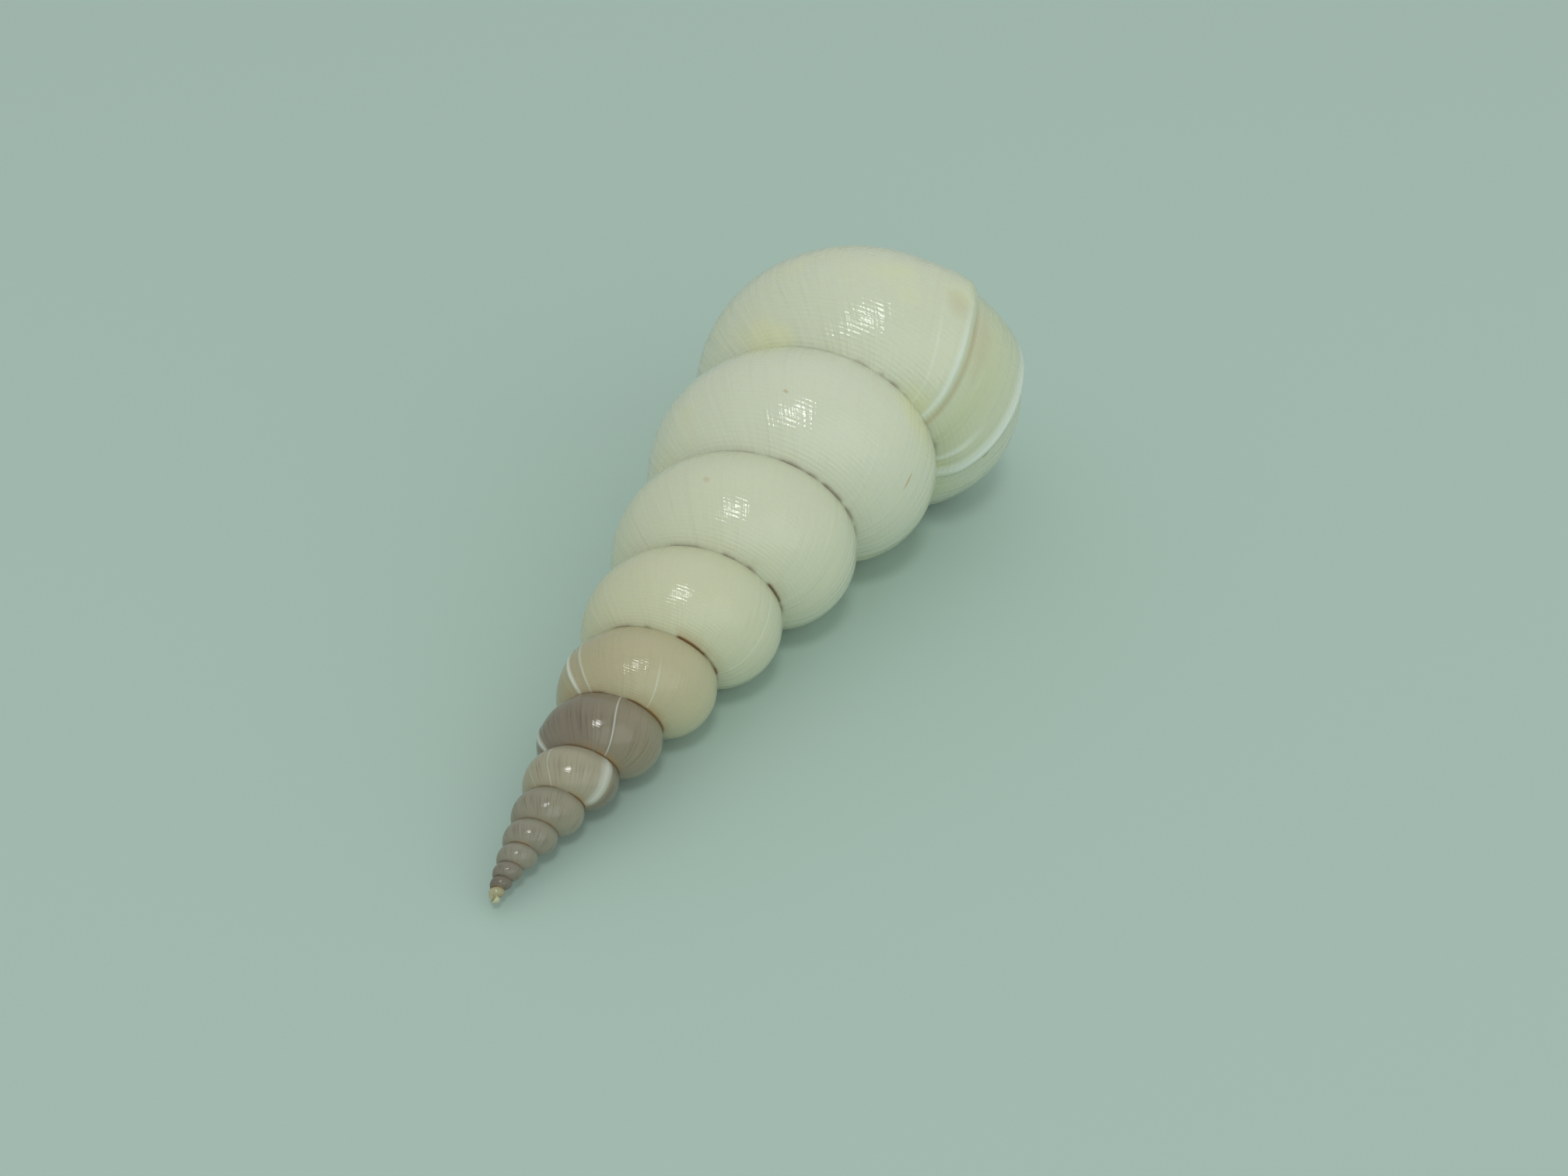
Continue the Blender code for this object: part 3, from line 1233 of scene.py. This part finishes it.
    def face_out(self, data: bpy.types.Mesh) -> None:
        """Turns every face outward and keeps the sutures crisp.

        Args:
            data: The wound shell.
        """
        mesh = bmesh.new()
        mesh.from_mesh(data)
        bmesh.ops.recalc_face_normals(mesh, faces=mesh.faces)
        mesh.to_mesh(data)
        mesh.free()
        data.set_sharp_from_angle(angle=self.crisp_angle)


@dataclass(frozen=True)
class SoftLight:
    """One square studio light that faces the shell."""

    name: str
    direction: tuple[float, float, float]
    distance: float
    size: float
    watts: float
    tint: Colour = (1.0, 1.0, 1.0)

    def place(self) -> None:
        """Adds the light to the scene."""
        lamp = bpy.data.lights.new(self.name, "AREA")
        lamp.energy, lamp.size, lamp.color = self.watts, self.size, self.tint
        made = bpy.data.objects.new(self.name, lamp)
        made.visible_camera = False
        away = Vector(self.direction).normalized()
        made.location = away * self.distance
        made.rotation_euler = away.to_track_quat("Z", "Y").to_euler()
        bpy.context.scene.collection.objects.link(made)


@dataclass(frozen=True)
class Studio:
    """The plain floor, the lights and the camera."""

    floor_size: float = 6.0
    floor_colour: Colour = srgb(180, 202, 193)
    floor_roughness: float = 0.7
    air_colour: Colour = (0.93, 1.0, 0.965)
    air_strength: float = 0.565
    lights: tuple[SoftLight, ...] = (
        SoftLight("ceiling light", (0.27, -0.43, 0.86), 0.8, 0.13, 1.05, (0.97, 1.0, 0.98)),
        SoftLight("wide light", (-0.25, 0.45, 0.9), 1.0, 1.0, 0.46, (0.97, 1.0, 0.97)),
        SoftLight("side light", (0.84, -0.50, 0.22), 1.1, 1.5, 4.3, (0.97, 1.0, 0.97)),
    )
    camera_place: Vector = Vector((44.0, -84.6, 69.3)) * MM
    camera_target: Vector = Vector((-1.9, 7.2, -2.3)) * MM
    camera_lens: float = 47.92
    sensor_width: float = 36.0

    def lay_floor(self) -> None:
        """Lays a plain pale floor at height 0."""
        half = 0.5 * self.floor_size
        corners = [(-half, -half, 0.0), (half, -half, 0.0), (half, half, 0.0), (-half, half, 0.0)]
        data = bpy.data.meshes.new("floor")
        data.from_pydata(corners, [], [(0, 1, 2, 3)])
        made = bpy.data.materials.new("pale floor")
        made.use_nodes = True
        made.node_tree.nodes.clear()
        bench = Bench(made.node_tree)
        finish = {"Base Color": (*self.floor_colour, 1.0), "Roughness": self.floor_roughness}
        shader = bench.add("ShaderNodeBsdfPrincipled", finish)
        bench.add("ShaderNodeOutputMaterial", {"Surface": shader.outputs[0]})
        data.materials.append(made)
        floor = bpy.data.objects.new("floor", data)
        bpy.context.scene.collection.objects.link(floor)

    def light(self) -> None:
        """Fills the air with soft light and places the lamps."""
        world = bpy.data.worlds.new("studio air")
        world.use_nodes = True
        back = world.node_tree.nodes["Background"]
        back.inputs["Color"].default_value = (*self.air_colour, 1.0)
        back.inputs["Strength"].default_value = self.air_strength
        bpy.context.scene.world = world
        for lamp in self.lights:
            lamp.place()

    def set_camera(self) -> None:
        """Looks at the shell as the photograph does."""
        camera = bpy.data.cameras.new("camera")
        camera.lens, camera.sensor_width = self.camera_lens, self.sensor_width
        camera.clip_start = 1.0 * MM
        made = bpy.data.objects.new("camera", camera)
        made.location = self.camera_place
        view = self.camera_target - self.camera_place
        made.rotation_euler = view.to_track_quat("-Z", "Y").to_euler()
        bpy.context.scene.collection.objects.link(made)
        bpy.context.scene.camera = made
        bpy.context.scene.view_settings.view_transform = "Standard"


def main() -> None:
    """Builds the shell and the studio round it."""
    logging.basicConfig(level=logging.INFO, format="%(name)s: %(message)s")
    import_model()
    Shell().build()
    studio = Studio()
    studio.lay_floor()
    studio.light()
    studio.set_camera()
    log.info("floor, lights and camera are in place")


if __name__ == "__main__":
    main()
